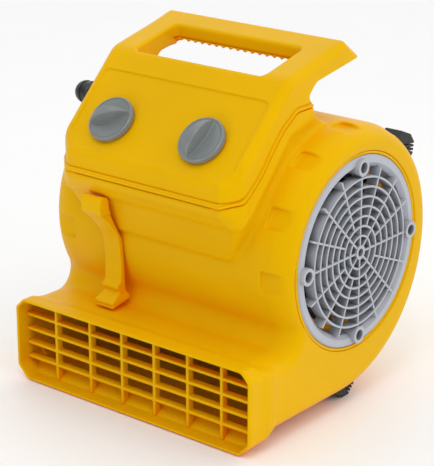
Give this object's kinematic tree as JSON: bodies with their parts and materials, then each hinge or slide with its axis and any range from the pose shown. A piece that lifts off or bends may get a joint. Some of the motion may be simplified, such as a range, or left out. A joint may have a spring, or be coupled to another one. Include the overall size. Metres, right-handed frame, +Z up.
{
  "type": "air mover",
  "caption": "Compact centrifugal air mover with side intake grilles, wide front outlet, sloping control console with two knobs, carry handle, carpet clamp and rubber feet.",
  "frame": {"origin": "centre of the footprint on the ground, midway between the intake sides and between the outlet face and the rear", "axes": "+X to the machine's right-hand intake as seen from the front, the outlet blows toward -Y, +Z up"},
  "size_m": [0.2984, 0.2828, 0.3407],
  "materials": {
    "housing_yellow": "satin",
    "cover_yellow": "satin",
    "grille_grey": "satin",
    "knob_grey": "satin",
    "black_rubber": "matt",
    "black_nylon": "satin",
    "wheel_plastic": "matt",
    "screw_steel": "zinc plated",
    "motor_steel": "black paint",
    "stator_iron": "varnished",
    "hub_aluminium": "machined",
    "control_plastic": "moulded"
  },
  "bodies": {
    "housing": {"housing_shell": "housing_yellow", "side_cover_right": "housing_yellow", "side_cover_left": "housing_yellow", "intake_grille_right": "grille_grey", "intake_grille_left": "grille_grey", "grille_screws_right": "screw_steel", "grille_screws_left": "screw_steel", "outlet_grille": "cover_yellow", "control_cover": "cover_yellow", "console_bead": "cover_yellow", "handle_lower_shell": "cover_yellow", "grip_screws": "screw_steel", "rotary_switch": "black_nylon", "speed_nut": "screw_steel", "timer_unit": "control_plastic", "timer_nut": "screw_steel", "cord_gland": "black_nylon", "cord_gland_nut": "black_nylon", "terminal_block": "control_plastic", "capacitor": "black_nylon", "capacitor_clip": "screw_steel", "foot_bottom_right": "black_rubber", "foot_bottom_left": "black_rubber", "foot_rear_right": "black_rubber", "foot_rear_left": "black_rubber", "clamp_bracket": "cover_yellow", "clamp_hinge_pin": "screw_steel", "clamp_spring": "screw_steel", "motor_case": "motor_steel", "motor_end_bell": "motor_steel", "motor_stator": "stator_iron", "motor_bracket": "screw_steel", "motor_mount_ring": "black_rubber", "bearing_inner": "screw_steel", "bearing_outer": "screw_steel"},
    "rotor": {"fan_shaft": "screw_steel", "fan_hub": "hub_aluminium", "hub_screw": "screw_steel", "blower_wheel": "wheel_plastic", "motor_rotor_core": "stator_iron"},
    "speed_control": {"speed_knob": "knob_grey", "speed_shaft": "screw_steel"},
    "timer_control": {"timer_knob": "knob_grey", "timer_shaft": "screw_steel"},
    "clamp": {"carpet_clamp": "cover_yellow"}
  },
  "joints": [
    {"name": "rotor_spin", "type": "hinge", "parent": "housing", "child": "rotor", "pos_m": [0, 0.0218, 0.1522], "axis": [1, 0, 0], "continuous": true},
    {"name": "speed_turn", "type": "hinge", "parent": "housing", "child": "speed_control", "pos_m": [-0.056, -0.09069, 0.26651], "axis": [0, -0.7071, 0.7071], "range_deg": [-60, 90]},
    {"name": "timer_turn", "type": "hinge", "parent": "housing", "child": "timer_control", "pos_m": [0.0524, -0.09069, 0.26651], "axis": [0, -0.7071, 0.7071], "range_deg": [-280, 0]},
    {"name": "clamp_hinge", "type": "hinge", "parent": "housing", "child": "clamp", "pos_m": [-0.0597, -0.1135, 0.19], "axis": [-1, 0, 0], "range_deg": [0, 60], "stiffness_Nm_per_rad": 0.12, "springref_deg": -34.38}
  ]
}
